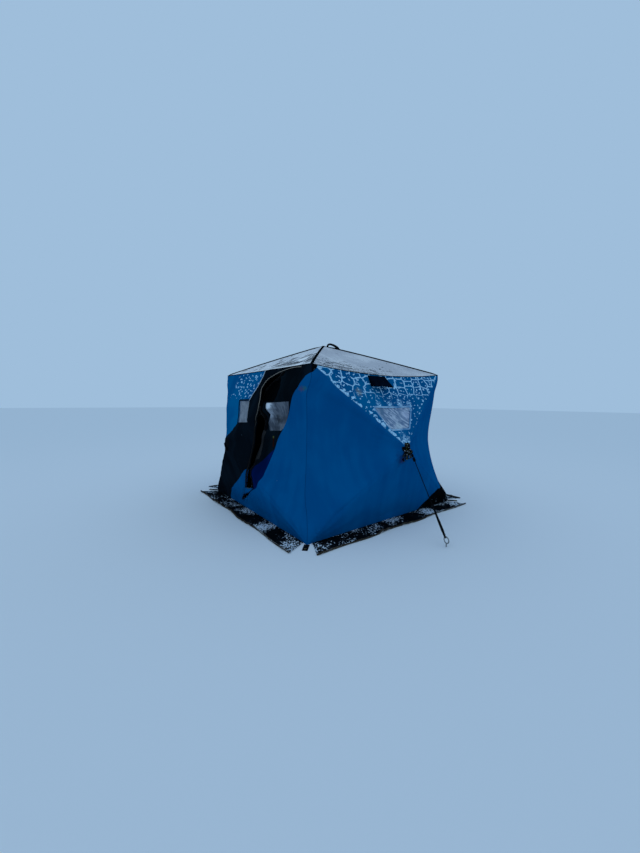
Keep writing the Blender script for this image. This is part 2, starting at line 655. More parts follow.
def rod_lines(wall):
    """The four lines from a hub to its corners, as open lines for the cut."""
    return [(np.array([hub_of(wall)[[0, 2]], corner]), False) for corner in CORNERS_2D]


flat, faces = cut_cloth(rim_2d, rod_lines("right") + [(window, True), (vent, True)], SPACING)
centre = flat[faces].mean(1)
panel_of, _ = between_rods("right", taut("right", centre[:, 0], centre[:, 1])[2])
holes = inside(centre, window) | inside(centre, vent)
PANELS = (("right", (1.65, 1.36)), ("top", (2.02, 1.0)), ("left", (1.65, 1.36)), ("foot", (2.28, 0.85)))
PRINT_TONES = ("#006496", "#00568a")
ROPED_FROST = ((0.0, 0.90, 0.10), (-0.24, 1.275, 0.06), (-0.05, 1.28, 0.07), (0.12, 1.285, 0.08),
               (0.26, 1.27, 0.07))
ROPED_MARKS = ((-0.48, 1.40, 0.07, 0.45, "#9c8f6c"),)
for number, wall in enumerate(WALLS[1:]):
    face = wall_face(wall)
    roped = wall == "right"
    print_cloth = printed("printed_polyester_" + wall, *PRINT_TONES, number + 1,
                          frost=ROPED_FROST if roped else (), marks=ROPED_MARKS if roped else ())
    plain_cloth = roped_blue if roped else blue_cloth
    for index, (place_name, cut_size) in enumerate(PANELS):
        mine = faces[(panel_of == index) & ~holes]
        node = f"{wall}_wall_{place_name}"
        outside = print_cloth if place_name == "top" else plain_cloth
        sheet(node + "_cloth", flat, mine, face, 0.0, CLOTH_T, [outside, lining], "quilted_cloth", cut_size,
              on=[wall + "_wall_rods"], node=node, back_kind=1)


# Door wall
# Six panels of the same cloth round an arched doorway. A black band runs from the near upper corner along
# the zip, round the hub and down to the far lower corner; the rest is blue, and printed on the far side of
# the band.
ARCH = np.array([(868, 1620), (772, 1625), (650, 1620), (534, 1605), (428, 1584), (319, 1554), (239, 1512),
                 (214, 1455), (238, 1390), (292, 1305), (342, 1204), (320, 1097), (270, 986), (235, 874),
                 (228, 765), (240, 659), (262, 558), (142, 419), (-12, 263), (-203, 86)]) / 1000
SEWN = np.array([(-203, 86), (-70, 147), (151, 280), (374, 382), (457, 478), (465, 559), (476, 631),
                 (487, 704), (510, 790), (540, 886), (578, 951), (626, 1016), (680, 1110), (726, 1202),
                 (757, 1272), (790, 1336), (840, 1399), (876, 1441), (903, 1502), (905, 1565),
                 (868, 1620)]) / 1000
DOOR_WINDOW = np.array([(-269, 1305), (10, 1306), (189, 1067), (-61, 1053)]) / 1000
PRINT_EDGE = np.array([(122, 1660), (107, 1572), (96, 1515), (71, 1447), (40, 1384), (10, 1306)]) / 1000
BAND_SIDE = np.array([(-61, 1053), (-116, 997), (-161, 930), (-205, 868), (-1100, 790)]) / 1000
BAND_FOOT = np.array([(258, 577), (128, 516), (-58, 414), (-262, 302), (-468, 183), (-608, 51),
                      (-640, -20)]) / 1000
BAND_HEAD = np.array([(890, 1468), (921, 1511), (945, 1540), (985, 1562), (1060, 1585)]) / 1000


def curve(points, n=6):
    """A smooth Catmull-Rom curve through hand-chosen points, with n pieces between two of them."""
    p = np.concatenate([points[:1], points, points[-1:]])
    t = (np.arange(n) / n)[None, :, None]
    a, b, c, d = (p[i:len(p) - 3 + i][:, None] for i in range(4))
    bend = 2 * b + (c - a) * t + (2 * a - 5 * b + 4 * c - d) * t ** 2 + (3 * b - a - 3 * c + d) * t ** 3
    return np.concatenate([(bend / 2).reshape(-1, points.shape[1]), points[-1:]])


arch, sewn = curve(ARCH), curve(SEWN)
doorway = np.concatenate([arch[:-1], sewn[:-1]])
BUNCH = 0.007
BUNCH_PITCH = 0.045
BUNCH_REACH = 0.10
SIDE_FOLD = 0.005
SIDE_PITCH = 0.15


def bunched(flat, out, turn):
    """The cloth beside the open zip stands out in ridges along it, dying away over 0.1 m, and the free side
    panel has soft upright folds."""
    x, z = flat.T
    panel, across = between_rods("door", turn)
    from_zip = distance_to(arch, flat)
    ridges = np.sin(2 * np.pi * from_zip / BUNCH_PITCH + 1.5 * np.sin(9 * z) + 1.1 * np.sin(7 * x))
    bunch = BUNCH * ridges * np.exp(-(from_zip / BUNCH_REACH) ** 2) * ease(from_zip, 0.0, 0.02)
    side = SIDE_FOLD * np.sin(2 * np.pi * x / SIDE_PITCH + 2 * np.sin(2.5 * z)) * np.sin(np.pi * across)
    return (bunch + np.where(panel == 0, side, 0)) * ease(out, 0.05, 0.2) * ease(1 - out, 0.0, 0.08)


door_face = wall_face("door", bunched)
upper_blue = np.concatenate([PRINT_EDGE, BAND_SIDE, [(-1.2, 1.7), (0.122, 1.7)]])
lower_blue = np.concatenate([BAND_FOOT, [(0.6, -0.02), (0.6, 0.577)]])
head_black = np.concatenate([BAND_HEAD, [(1.06, 1.7), (0.7, 1.7), (0.86, 1.55)]])
door_rim = rim_of("door", 61)[:, [0, 2]]
hub_side = np.concatenate([[(-2 * FOOT_HALF, -0.01), (ARCH[-1][0], -0.01)], sewn,
                           [(ARCH[0][0], CORNER_H), (-2 * FOOT_HALF, CORNER_H)]])
below_door = np.array([ARCH[-1], (ARCH[-1][0], -0.01)])
drawn_open = [(line, False) for line in (below_door, PRINT_EDGE, BAND_SIDE, BAND_FOOT, BAND_HEAD)]
door_lines = rod_lines("door") + [(doorway, True), (DOOR_WINDOW, True)] + drawn_open
flat, faces = cut_cloth(door_rim, door_lines, SPACING)
centre = flat[faces].mean(1)
panel_of, _ = between_rods("door", taut("door", centre[:, 0], centre[:, 1])[2])
hub_part = inside(centre, hub_side)
solid = ~inside(centre, doorway) & ~inside(centre, DOOR_WINDOW)
BLUE, PRINT, BLACK, LINING = range(4)
colours = np.where(hub_part | (panel_of == 1), BLACK, BLUE)
colours[inside(centre, lower_blue) & (panel_of == 3)] = BLUE
colours[inside(centre, upper_blue)] = BLUE
colours[inside(centre, upper_blue) & (panel_of == 1)] = PRINT
colours[inside(centre, head_black)] = BLACK
DOOR_PANELS = {"top": (panel_of == 1, (2.02, 1.0)), "left": (panel_of == 2, (1.65, 1.15)),
               "right": ((panel_of == 0) & ~hub_part, (1.65, 1.0)),
               "middle": ((panel_of == 0) & hub_part, (0.6, 0.6)),
               "foot_left": ((panel_of == 3) & hub_part, (1.3, 0.85)),
               "foot_right": ((panel_of == 3) & ~hub_part, (1.4, 0.6))}
door_print = printed("printed_polyester_door", *PRINT_TONES, 5, net=0.0, reach=(1.31, 1.36), side=-0.62)
door_materials = [door_blue, door_print, band_cloth, lining]
for place_name, (where, cut_size) in DOOR_PANELS.items():
    mine = faces[where & solid]
    node = "door_wall_" + place_name
    sheet(node + "_cloth", flat, mine, door_face, 0.0, CLOTH_T, door_materials, "quilted_cloth", cut_size,
          on=["door_wall_rods"], node=node, kinds=colours[where & solid], back_kind=LINING)


# Windows
# Clear vinyl, welded behind the cloth and frosted over from the inside, in a bound edge. The hidden walls
# have the same window as the roped one.
PANE_T = 0.0012
PANE_LAP = 0.015
BIND_W = 0.016
BIND_T = 0.0015


def vinyl(name, frost_tone, tones, marks=(), lean=0.9):
    """Frosted clear sheet: scratches of frost that lean by an angle over grey, and blots where it is wiped
    clean or caked."""
    m, place = finish_of(name)
    slanted = add(m, "Mapping TEXTURE", place, Rotation=(0, 0, lean), Scale=(1 / 60, 1 / 12, 1.0))
    scratches = add(m, "TexNoise 2D", slanted, 1.0, 5.0, Distortion=0.6)
    clouds = add(m, "TexNoise 2D", place, 9.0, 4.0)
    frosted = add(m, "MULTIPLY_ADD", clouds, 0.5, scratches)
    tone = add(m, "COLOURS", add(m, "SMOOTHSTEP", clouds, 0.3, 0.7), *tones)
    tone = add(m, "COLOURS", add(m, "SMOOTHSTEP", frosted, 0.66, 0.92), tone, frost_tone)
    return surface(m, marked(m, place, tone, marks), 0.45, scratches, 0.0005, 0.12, IOR=1.53)


def headings(path, closed):
    """The unit direction of a path at each of its points."""
    way = unit(np.gradient(np.concatenate([path[-1:], path, path[:1]]) if closed else path, axis=0))
    return way[1:-1] if closed else way


def beside(path, offset, closed=False):
    """A flat path moved to its right by an offset, so outward for a closed path listed anticlockwise."""
    way = headings(path, closed)
    return path + offset * np.stack([way[:, 1], -way[:, 0]], -1)


def grid_faces(rows, columns, closed=False, looped=False):
    """Triangles of a grid whose points run along each row. Closed joins each row's end to its start, and
    looped joins the last row to the first."""
    row = np.arange(rows if looped else rows - 1)[:, None]
    i = np.arange(columns if closed else columns - 1)[None]
    j, after = (i + 1) % columns, (row + 1) % rows
    a, b, c, d = row * columns + i, row * columns + j, after * columns + j, after * columns + i
    return np.concatenate([np.stack(corners, -1).reshape(-1, 3) for corners in ((a, b, c), (a, c, d))])


def strip(path, inner, outer, rows=3, closed=False):
    """A flat strip along a path between two offsets to its right, with triangles turned anticlockwise."""
    points = np.concatenate([beside(path, o, closed) for o in np.linspace(inner, outer, rows)])
    faces = grid_faces(rows, len(path), closed)
    a, b, c = np.moveaxis(points[faces], 1, 0)
    clockwise = np.cross(b - a, c - a) < 0
    faces[clockwise] = faces[clockwise][:, ::-1]
    return points, faces


def bound(name, outline, face, material):
    """The folded tape round a window's edge."""
    tape = strip(along(outline, 0.012), 0.0, BIND_W, closed=True)
    shell(name, *tape, face, -BIND_T, BIND_T, material, "quilted_cloth")


def pane(name, outline, face, depth, material, node):
    """One clear sheet behind its hole."""
    points, faces = cut_cloth(grown(outline, PANE_LAP), [], 0.02)
    size = tuple((points.max(0) - points.min(0)).round(3).tolist())
    sheet(name, points, faces, face, depth, PANE_T, material, "clear_sheet", size, node=node)


window_binding = polyester("window_binding", "#9cc0da", "#5288b4", frost=1.0)
wall_vinyl = vinyl("frosted_vinyl", "#b4c2d3", ("#5f7a9a", "#7288a5"),
                   marks=((-0.23, 1.22, 0.12, 0.85, "#507391"), (0.16, 1.16, 0.10, 0.5, "#b9c3dc"),
                          (-0.02, 1.04, 0.09, 0.5, "#c4d6de")))
for wall in WALLS[1:]:
    pane(wall + "_window_pane", window, wall_face(wall), CLOTH_T, wall_vinyl, "wall_windows")
    bound(wall + "_window_binding", window[::-1], wall_face(wall), window_binding)
door_vinyl = vinyl("frosted_vinyl_door", "#868c95", ("#666d77", "#727984"))
pane("door_window_pane", DOOR_WINDOW, door_face, CLOTH_T, door_vinyl, "door_wall_window")
bound("door_window_binding", DOOR_WINDOW[::-1], door_face, band_cloth)


# Door leaf and zip
# A cloth leaf with its own window, sewn behind the wall along one side. Unzipped, it hangs back into the
# room and over the rod that crosses the doorway. Half the zip stays along the arch, and half on the leaf's
# free edge.
LEAF_T = 0.004
LEAF_LAP = 0.020
LEAF_WINDOW = np.array([(428, 1286), (594, 1296), (735, 1303), (715, 1204), (648, 1038), (592, 996),
                        (415, 990), (426, 1076), (478, 1169)]) / 1000
LEAF_FREE = np.array([(534, 1605), (400, 1575), (270, 1530), (205, 1455), (215, 1350), (330, 1240),
                      (395, 1150), (385, 1075), (350, 1007), (307, 923), (287, 816), (283, 700), (290, 600),
                      (284, 500), (266, 420), (228, 335)]) / 1000
LEAF_FOLD = np.array([(440, 1590), (512, 1563), (542, 1478), (605, 1382), (562, 1300)]) / 1000
NAVY_LINE = np.array([(0.0, 0.275), (0.8, 1.100)])
BOUND_ABOVE, BOUND_FROM = 1.0, 0.65
HANG = 0.034
ROD_HOLD = 0.13
ZIP_T = 0.003
ZIP_W = 0.022
TAPE_T = 0.0015
EDGE_T = 0.004
TAB_T = 0.003
COIL_R = 0.0035
CLOSED = 3
rods_over_leaf = [np.array([hub_of("door")[[0, 2]], end]) for end in ((TOP_HALF, CORNER_H), (FOOT_HALF, 0))]


def leaf_face(flat, depth):
    """The leaf from its sewn edge inward: where neither the zip nor the rod holds it, it sinks into the
    room by up to 34 mm more, with upright folds 12 mm deep."""
    x, z = flat.T
    from_seam = distance_to(sewn, flat)
    off_rod = 1 - np.exp(-(np.minimum(*(distance_to(line, flat) for line in rods_over_leaf)) / ROD_HOLD) ** 2)
    from_zip = distance_to(ARCH[:CLOSED + 1], flat)
    free = ease(from_seam, 0.02, 0.24) * ease(from_zip, 0.01, 0.16)
    sink = HANG * off_rod * free
    folds = 0.006 * (1 + np.sin(2 * np.pi * (from_seam / 0.14 + 0.25 * z))) * ease(from_seam, 0.03, 0.12)
    loose = folds * off_rod * ease(from_zip, 0.01, 0.10)
    return door_face(flat, depth + sink + loose)


def cordlike(name, path, radius, material, slot, sides=8, closed=False, up=(0, 0, 1)):
    """A round piping, coil, binding or rope along a path; its map is turns round and metres along."""
    way = headings(path, closed)
    side = unit(np.cross(way, up))
    turn = np.linspace(0, 2 * np.pi, sides, endpoint=False)
    ring = side[:, None] * np.cos(turn)[:, None] + np.cross(side, way)[:, None] * np.sin(turn)[:, None]
    points = (path[:, None] + ring * np.reshape(radius, (-1, 1, 1))).reshape(-1, 3)
    n = len(path)
    faces = grid_faces(n, sides, True, closed)
    if not closed:
        first, last = np.arange(1, sides - 1), (n - 1) * sides
        start_cap = np.stack([0 * first, first + 1, first], -1)
        faces = np.concatenate([faces, start_cap, last + start_cap[:, [0, 2, 1]]])
    gone = np.concatenate([[0], np.cumsum(np.linalg.norm(np.diff(path, axis=0), axis=1))])
    uv = np.stack([np.tile(turn / (2 * np.pi), n), np.repeat(gone, sides)], -1)
    return piece(name, points, faces, material, slot, uv=uv, sharp=60)


def on_face(face, path, depth):
    """A flat path carried onto a face at a depth."""
    return face(path, np.full(len(path), depth))


leaf_cloth = polyester("charcoal_leaf_polyester", "#0d1920", "#081015", roughness=0.65)
leaf_navy = polyester("navy_leaf_polyester", "#001c55", "#001440", roughness=0.6)
leaf_flap = polyester("black_zip_flap", "#050709", "#030405", roughness=0.7)
leaf_edge = polyester("brown_grey_binding", "#2e2e30", "#232426", roughness=0.75)
lapped = grown(doorway[::-1], LEAF_LAP)
free_edge = curve(LEAF_FREE)
opened = curve(ARCH)[6 * CLOSED:]
gap = np.concatenate([beside(opened, 2 * LEAF_LAP), [(-0.26, 0.02), (0.15, 0.22)], free_edge[::-1]])
fold_line = curve(LEAF_FOLD)
across_flap = np.array([(0.0, BOUND_ABOVE), (0.8, BOUND_ABOVE)])
around = np.array([(-0.35, 1.66), (1.0, 1.66), (1.0, 0.02), (-0.35, 0.02)])
FLAP_MARGIN = 0.036
leaf_lines = [(lapped, True), (LEAF_WINDOW, True), (NAVY_LINE, False), (across_flap, False),
              (free_edge, False), (fold_line, False), (beside(free_edge, -FLAP_MARGIN)[6:-4], False)]
flat, faces = cut_cloth(around, leaf_lines, SPACING)
centre = flat[faces].mean(1)
mine = inside(centre, lapped) & ~inside(centre, gap) & ~inside(centre, LEAF_WINDOW)
x, z = centre[mine].T
CHARCOAL, NAVY, FLAP_BLACK = range(3)
left_of_fold = (x < np.interp(z, fold_line[::-1, 1], fold_line[::-1, 0])) & (z > LEAF_FOLD[-1][1])
margin = (distance_to(free_edge, centre[mine]) < FLAP_MARGIN) & (z > BOUND_ABOVE)
kinds = np.where(left_of_fold | margin, FLAP_BLACK, np.where(z < np.interp(x, *NAVY_LINE.T), NAVY, CHARCOAL))
sheet("door_leaf_cloth", flat, faces[mine], leaf_face, CLOTH_T, LEAF_T, [leaf_cloth, leaf_navy, leaf_flap],
      "black_cloth", (1.45, 0.5), "hung", ["door_wall_right_cloth"], node="door_leaf", kinds=kinds)
leaf_vinyl = vinyl("frosted_vinyl_leaf", "#6b727c", ("#464d58", "#545b66"),
                   marks=((0.47, 1.27, 0.12, 0.75, "#a3adba"), (0.48, 1.265, 0.08, 0.9, "#e9eff6"),
                          (0.47, 1.17, 0.07, 0.7, "#b3bdca"), (0.52, 1.02, 0.10, 0.7, "#2c333d"),
                          (0.56, 1.12, 0.09, 0.8, "#1c2128"), (0.65, 1.12, 0.07, 0.6, "#2c333d")), lean=0.15)
pane("leaf_window_pane", LEAF_WINDOW, leaf_face, CLOTH_T + LEAF_T, leaf_vinyl, "door_leaf_window")

# Woven tape with a nylon coil in teeth 2 mm apart, tan round the top of the arch and dark with dirt below
zip_tape = two_tone("zip_tape", ("#0c0c0d", "#16161a"), 9, 0.8, 0.0)


def nylon_coil(name, clean, dirty, dirt_from, dirt_to):
    """A coil whose map runs in metres along it, clean at its start and dirty from a length on."""
    m, place = finish_of(name)
    teeth = add(m, "TexWave Y", place, Scale=500 / RIDGES_PER_UNIT)
    dirt = add(m, "SMOOTHSTEP", (add(m, "SeparateXYZ", place), "Y"), dirt_from, dirt_to)
    tone = add(m, "COLOURS", dirt, clean, dirty)
    tone = add(m, "COLOURS", add(m, "SMOOTHSTEP", teeth, 0.0, 1.0, 0.4, 0.0), tone, "#0b0b0c")
    return surface(m, tone, 0.5, teeth, 0.0008, 0.1)


wall_coil = nylon_coil("nylon_zip_coil", "#a2988b", "#191a1c", 0.80, 1.30)
leaf_coil = nylon_coil("dark_nylon_zip_coil", "#1b1c1e", "#141517", 0.0, 1.0)
shell("zip_tape_on_wall", *strip(arch, 0.0, ZIP_W), door_face, -ZIP_T, ZIP_T, zip_tape, "zip_tape",
      "door_zip")
cordlike("zip_coil_on_wall", on_face(door_face, beside(arch, 0.004), -ZIP_T - COIL_R * 0.6), COIL_R,
         wall_coil, "zip_tape", up=(0, 1, 0))
shell("zip_tape_on_leaf", *strip(free_edge, -0.022, -0.002), leaf_face, CLOTH_T - TAPE_T, TAPE_T, zip_tape,
      "zip_tape")
cordlike("zip_coil_on_leaf", on_face(leaf_face, beside(free_edge, -0.003), CLOTH_T - COIL_R * 0.8), COIL_R,
         leaf_coil, "zip_tape", up=(0, 1, 0))
bound_part = free_edge[(free_edge[:, 1] > BOUND_FROM) & (free_edge[:, 1] < BOUND_ABOVE)]
shell("leaf_edge_binding", *strip(bound_part, -0.032, 0.001), leaf_face, CLOTH_T - EDGE_T, EDGE_T, leaf_edge,
      "black_cloth")

# A rust-red tie tab with a pale end hangs on the leaf; low down a blue flap with a grey tie bridges the
# open gap
tie_red, place = finish_of("faded_red_tie")
tie_end = add(tie_red, "SMOOTHSTEP", (add(tie_red, "SeparateXYZ", place), "Y"), 0.905, 0.920)
surface(tie_red, add(tie_red, "COLOURS", tie_end, "#2b130f", "#4f5230"), 0.8)
leaf_tie = strip(along([(0.487, 0.935), (0.486, 0.818)], 0.01, closed=False), -0.008, 0.008)
shell("leaf_tie_tab", *leaf_tie, leaf_face, CLOTH_T - TAB_T, TAB_T, tie_red, "webbing")
tie_grey = polyester("grey_tie", "#50646c", "#3f5158", roughness=0.7)
GAP_SIDES = ((np.array([(0.000, 0.292), (-0.105, 0.185)]), -ZIP_T),
             (np.array([(0.255, 0.345), (0.050, 0.235)]), -0.001))


def bridge_face(flat, depth):
    """Cloth pulled straight across the gap's lower end, as a function of the share across and the share
    down."""
    across, down = flat[:, :1], flat[:, 1:]
    left, right = (door_face(a + (b - a) * down, 0 * depth + lift) for (a, b), lift in GAP_SIDES)
    return left + (right - left) * across + np.array([0.1, 1.0, 0]) * depth[:, None]


gap_cloth = strip(along([(0.0, 0.0), (1.0, 0.0)], 0.1, closed=False), -1.0, 0.0, rows=11)
sheet("gap_flap", *gap_cloth, bridge_face, -TAB_T, TAB_T, blue_cloth, "quilted_cloth", (0.26, 0.14))
gap_tie = strip(along([(0.30, 0.0), (0.75, 0.0)], 0.05, closed=False), -0.10, 0.04)
shell("gap_tie_tab", *gap_tie, bridge_face, -2 * TAB_T, TAB_T, tie_grey, "webbing")


# Roof
# Four panels of dark coated cloth under thin granular frost. The rods push the ridges up and the eaves sag,
# so each panel is a fan from the peak, which leans toward the near corner; the frost is worn off in specks
# and streaks toward the eaves.
RIDGE_BOW = 0.008
ROOF_HOLLOW = 0.012
ROOF_SLACK = 0.004
PEAK_LEAN = np.array([-0.041, -0.054, 0.012])
BOOTS_MEET = np.array([(0.975, 1.605), (1.085, 0.045)])
BOOT_SHARE = 0.82


def leaned(points):
    """Points moved with the peak, by a share that falls in a straight line to none at the corners' height."""
    return points + PEAK_LEAN * np.clip((points[:, 2:] - CORNER_H) / (PEAK_H - CORNER_H), 0, 1)


def tucked(points):
    """Boots made a little smaller about the place where their rods meet, to stay under the slack cloth."""
    half, height = np.where(points[:, 2:] > HUB_H, BOOTS_MEET[0], BOOTS_MEET[1]).T[..., None]
    middle = np.concatenate([np.sign(points[:, :2]) * half, height], 1)
    return middle + (points - middle) * BOOT_SHARE


def moved_node(name, move, material, slot):
    """One of the frame's own solids, moved with the cloth."""
    mesh, place = nodes[name].data, np.array(nodes[name].matrix_world)
    points, corner = np.empty(3 * len(mesh.vertices)), np.empty(len(mesh.loops), np.int32)
    mesh.vertices.foreach_get("co", points)
    mesh.loops.foreach_get("vertex_index", corner)
    ends = np.cumsum([len(p.vertices) for p in mesh.polygons])[:-1]
    points = points.reshape(-1, 3) @ place[:3, :3].T + place[:3, 3]
    made = piece(name + "_moved", move(points), [f[None] for f in np.split(corner, ends)], material, slot)
    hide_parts(name)


for name, move, material, slot in (("roof_rods", leaned, glass_fibre, "glass_fibre_rod"),
                                   ("roof_hub", leaned, moulded_nylon, "black_plastic"),
                                   ("upper_corner_boots", tucked, moulded_nylon, "black_cloth"),
                                   ("lower_corner_boots", tucked, moulded_nylon, "black_cloth")):
    moved_node(name, move, material, slot)


def roof_face(wall):
    """The roof over one wall as a function of x and y in the door wall's frame: straight from the peak to the
    eave, with its ridges bowed up as a parabola and the cloth hollow in between."""
    def face(flat, depth):
        x, y = flat.T
        far = np.clip(-y / TOP_HALF, 0, 1)
        s = np.clip(x / np.maximum(far, 1e-6) / TOP_HALF, -1, 1) / 2 + 0.5
        z = PEAK_H + (eave(wall, s)[:, 2] - PEAK_H) * far
        ridge = ease(np.abs(2 * s - 1), 0.2, 1.0)
        z = z + RIDGE_BOW * bow(far) * ridge - ROOF_HOLLOW * bow(far) * bow(s)
        z = z + ROOF_SLACK * waves(x, y, 0.35, WALLS.index(wall) + 50) * bow(s) * ease(1 - far, 0, 0.1)
        return leaned(turned(drawn_in(np.stack([x, y, z], -1), depth), wall))
    return face


def frosted(name, seed, tones, worn_x, worn_y, bareness, streaks):
    """Dark cloth under frost, read from the panel's own map, whose Y falls to the eave: grains and clouds,
    and bare specks and level dashes that grow denser toward the second of two X and of two Y. Streaks is
    the share of white drifts and black ragged marks among them."""
    m, place = finish_of(name)
    split = add(m, "SeparateXYZ", place)
    shifted = add(m, "Mapping", place, Location=(seed * 2.3, seed * 1.7, 0))

    def noise_at(x_scale, y_scale, detail):
        stretched = add(m, "Mapping", shifted, Scale=(x_scale, y_scale, 1.0))
        return add(m, "TexNoise 2D", stretched, 1.0, detail, Roughness=0.6)

    worn = add(m, "MULTIPLY", add(m, "SMOOTHSTEP", (split, "Y"), *worn_y),
               add(m, "SMOOTHSTEP", (split, "X"), *worn_x, 0.2, 1.0))
    clouds, grains = noise_at(2.5, 2.5, 5.0), noise_at(120.0, 120.0, 3.0)
    bare_dash = add(m, "MULTIPLY_ADD", worn, bareness, 0.28)
    bare_speck = add(m, "MULTIPLY_ADD", worn, 0.75 * bareness, 0.25)
    by_dash = add(m, "LESS_THAN", noise_at(9.0, 19.0, 6.0), bare_dash)
    by_speck = add(m, "LESS_THAN", noise_at(38.0, 60.0, 2.0), bare_speck)
    bare = add(m, "MAXIMUM", by_dash, by_speck)
    tone = add(m, "COLOURS", add(m, "SMOOTHSTEP", clouds, 0.35, 0.68), *tones)
    tone = add(m, "COLOURS", add(m, "SMOOTHSTEP", grains, 0.35, 0.6, 0.25, 0.0), tone, "#959aa2")
    mottle = add(m, "SMOOTHSTEP", noise_at(55.0, 38.0, 4.0), 0.44, 0.56, 1.0, 0.45)
    tone = add(m, "COLOURS", add(m, "MULTIPLY", bare, mottle), tone, "#39424a")
    if streaks:
        drift = add(m, "SMOOTHSTEP", noise_at(1.6, 4.5, 3.0), 0.42, 0.52)
        drift = add(m, "MULTIPLY", drift, worn)
        tone = add(m, "COLOURS", drift, tone, "#ffffff")
        ragged = add(m, "MULTIPLY_ADD", worn, 0.19 * streaks, 0.25 + 0.11 * streaks)
        black = add(m, "SUBTRACT", ragged, noise_at(8.5, 5.0, 7.0))
        black = add(m, "MULTIPLY", add(m, "SMOOTHSTEP", black, -0.008, 0.016),
                    add(m, "SMOOTHSTEP", (split, "Y"), -0.99, -0.86, 0.0, 1.0))
        black = add(m, "MULTIPLY", black, mottle)
        tone = add(m, "COLOURS", black, tone, "#0a1014")
    return surface(m, tone, 0.85, add(m, "MULTIPLY_ADD", bare, -1.0, grains), 0.0012, 0.1)


apex, far_left, far_right = (0.0, 0.0), (-TOP_HALF, -TOP_HALF), (TOP_HALF, -TOP_HALF)
flat, faces = cut_cloth(np.array([apex, far_left, far_right]), [], SPACING * 1.3)
PALE_FROST, GREY_FROST = ("#d6d7dc", "#f4f5f6"), ("#c4c5cb", "#e0e0e3")
ROOF_WEAR = {"door": (PALE_FROST, (-0.5, 0.2), (-0.25, -0.75), 0.16, 1.0),
             "right": (GREY_FROST, (0.6, -0.4), (-0.45, -0.90), 0.21, 0.0),
             "back": (PALE_FROST, (-1.2, 0.8), (-0.45, -0.95), 0.16, 0.3),
             "left": (GREY_FROST, (0.9, -0.9), (-0.45, -0.95), 0.16, 0.0)}
for number, (wall, side_name) in enumerate(zip(WALLS, SIDES)):
    frost_cloth = frosted("frosted_roof_cloth_" + side_name, number, *ROOF_WEAR[wall])
    node = "roof_" + side_name
    sheet(node + "_cloth", flat, faces, roof_face(wall), 0.0, CLOTH_T, [frost_cloth, lining], "roof_cloth",
          (2.02, 1.1), on=["roof_rods"], node=node, back_kind=1)


# Bindings
# Woven tape binds the ridges and the eaves, a thin seam runs down each corner, and a pale piping edges the
# print.
RIDGE_W = 0.027
RIDGE_T = 0.0025
RIDGE_LIFT = 0.007
EAVE_R = 0.0045
SEAM_R = 0.0018
PIPING_R = 0.0045
woven_tape = polyester("black_binding_tape", "#0a1215", "#060a0c", frost=0.1, roughness=0.7)
seam_thread = polyester("navy_seam", "#003f70", "#003766")
pale_piping = polyester("pale_piping", "#b9c8d2", "#9fb2c0")


def ridge_face(number):
    """The tape folded over a ridge: how far down from the peak, and how far off the ridge on either roof
    panel. The rod under it lifts its middle as a parabola."""
    here, there = roof_face(WALLS[number]), roof_face(WALLS[(number + 1) % 4])

    def face(flat, depth):
        down, off = flat[:, :1], flat[:, 1:] * math.sqrt(2)
        ends = ease(flat[:, 0], 0.03, 0.10) * ease(TOP_HALF - flat[:, 0], 0.0, 0.05)
        lifted = depth - RIDGE_LIFT * (1 - (2 * flat[:, 1] / RIDGE_W) ** 2) * ends
        on_this = here(np.concatenate([down + np.minimum(off, 0), -down], 1), lifted)
        on_next = there(np.concatenate([-down + np.maximum(off, 0), -down], 1), lifted)
        return np.where(off < 0, on_this, on_next)
    return face


ridge_flat = lattice(np.linspace(0.002, 1, 60) * TOP_HALF, np.linspace(-0.5, 0.5, 7) * RIDGE_W)
for number, wall in enumerate(WALLS):
    shell(wall + "_ridge_binding", ridge_flat, grid_faces(7, 60), ridge_face(number), -RIDGE_T, RIDGE_T,
          woven_tape, "black_cloth")
    edge = turned(eave(wall, np.linspace(0, 1, 90)), wall)
    cordlike(wall + "_eave_binding", edge, EAVE_R, woven_tape, "black_cloth")
    down = pulled(turned(seam(1, np.linspace(0.01, 1, 80), wall == "door"), wall))
    cordlike(wall + "_corner_seam", down, SEAM_R, seam_thread, "quilted_cloth", up=(1, 1, 0))
piping_2d = np.concatenate([[(0.120, 1.645)], curve(PRINT_EDGE[1:], 8)])
cordlike("print_piping", on_face(door_face, piping_2d, -0.002), PIPING_R, pale_piping, "quilted_cloth",
         up=(0, 1, 0))


# Vent hoods
# A flap of black cloth over each vent, stitched to the wall along its head and held out by a stiffener.
HOOD_OUT = 0.075
HOOD_T = 0.004
HOOD_SIDE = 0.16
HOOD_SAG = 0.006
HOOD_SKEW = 0.008
HOOD_DROOP = 0.012
hood_half = VENT_W / 2 + 2 * HOOD_T
hood_top, hood_foot = VENT_HEAD + 0.035, VENT_HEAD - VENT_H - 0.018


def hood_face(wall):
    """The hood as a function of how far round it (0 and 1 where its sides meet the wall) and how far down it:
    its flap leans out in a straight line with a small sag, and both sides fold back to the wall."""
    def face(flat, depth):
        c, v = flat.T
        fold = np.clip(np.minimum(c, 1 - c) / HOOD_SIDE, 0, 1)
        x = np.clip((c - HOOD_SIDE) / (1 - 2 * HOOD_SIDE), 0, 1) * 2 - 1
        half = hood_half - depth
        z = hood_top - depth - (hood_top - hood_foot) * v
        wall_y = taut(wall, -VENT_SHIFT + x * half, z)[0]
        sag = HOOD_SAG * np.sin(3 * np.pi * x) * v + HOOD_SKEW * v * x
        reach = (HOOD_OUT * v + 0.003 - depth * v) * ease(fold, -0.3, 1.0) + sag * fold
        y = wall_y - reach * fold ** 0.7
        z = z - HOOD_DROOP * v * ease(x, 0.3, 1.0) * fold
        return turned(np.stack([-VENT_SHIFT + x * half, y, z], -1), wall)
    return face


